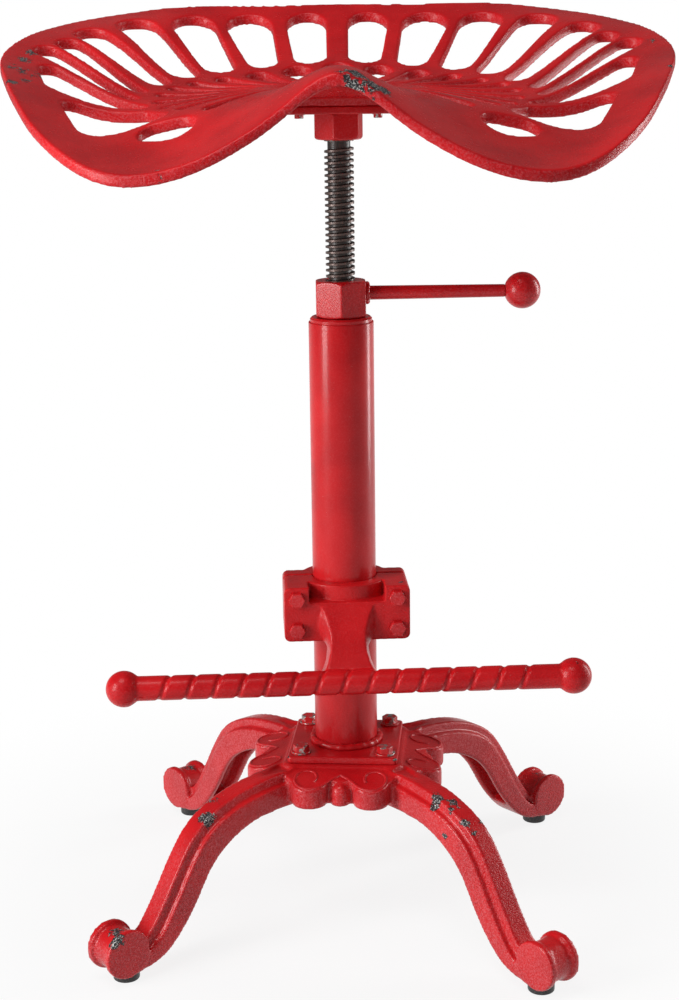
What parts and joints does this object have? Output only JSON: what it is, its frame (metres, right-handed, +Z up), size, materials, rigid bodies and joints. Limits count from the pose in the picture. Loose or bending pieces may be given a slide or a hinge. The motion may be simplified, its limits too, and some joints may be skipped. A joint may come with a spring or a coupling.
{
  "type": "tractor seat stool",
  "caption": "Cast tractor seat on a screw-adjusted post with a lock lever, a clamped footrest bar and four scrolled legs.",
  "frame": {"origin": "on the floor, on the axis of the post", "axes": "+Z up along the post; the base is square to X and Y; the front, with the footrest, faces -Y"},
  "size_m": [0.4558, 0.3402, 0.6413],
  "materials": {
    "red_casting": "semi-gloss paint over sand casting, worn at edges",
    "red_steel": "semi-gloss paint over smooth steel",
    "screw_steel": "steel with worn red paint",
    "bare_steel": "zinc plated",
    "oiled_steel": "dark oiled thread",
    "nylon": "natural nylon",
    "black_plastic": "matt"
  },
  "bodies": {
    "stand": {"base_casting": "red_casting", "foot_glides": "black_plastic", "glide_screws": "bare_steel", "flange_plate": "red_steel", "flange_screws": "screw_steel", "flange_washers": "bare_steel", "flange_nuts": "bare_steel", "post_tube": "red_steel", "post_weld": "red_steel", "threaded_bush": "red_steel"},
    "footrest": {"footrest_casting": "red_casting", "clamp_back_half": "red_casting", "clamp_bolts": "screw_steel", "clamp_washers": "bare_steel", "clamp_nuts": "bare_steel"},
    "lock": {"lock_nut": "red_steel", "lock_lever": "red_steel", "lever_weld": "red_steel", "lever_knob": "red_steel"},
    "guide": {"rod_guide": "nylon"},
    "seat": {"screw_rod": "oiled_steel", "guide_washer": "bare_steel", "guide_screw": "bare_steel", "seat_nut": "red_steel", "seat_mount_plate": "red_steel", "seat_screws": "red_steel", "seat_washers": "red_steel", "seat_pan": "red_casting"}
  },
  "joints": [
    {"name": "footrest_height", "type": "slide", "parent": "stand", "child": "footrest", "axis": [0, 0, 1], "range_m": [-0.045, 0.17]},
    {"name": "lock_lever_swing", "type": "hinge", "parent": "stand", "child": "lock", "pos_m": [0, 0, 0.443], "axis": [0, 0, 1], "range_deg": [0, 120]},
    {"name": "seat_lift", "type": "slide", "parent": "stand", "child": "guide", "axis": [0, 0, 1], "range_m": [-0.0921, 0.0961]},
    {"name": "seat_spin", "type": "hinge", "parent": "guide", "child": "seat", "pos_m": [0, 0, 0.3], "axis": [0, 0, 1], "range_deg": [-8280, 8640]}
  ],
  "couplings": [
    {"joint": "seat_lift", "follows": "seat_spin", "m_per_rad": 0.00063662}
  ]
}
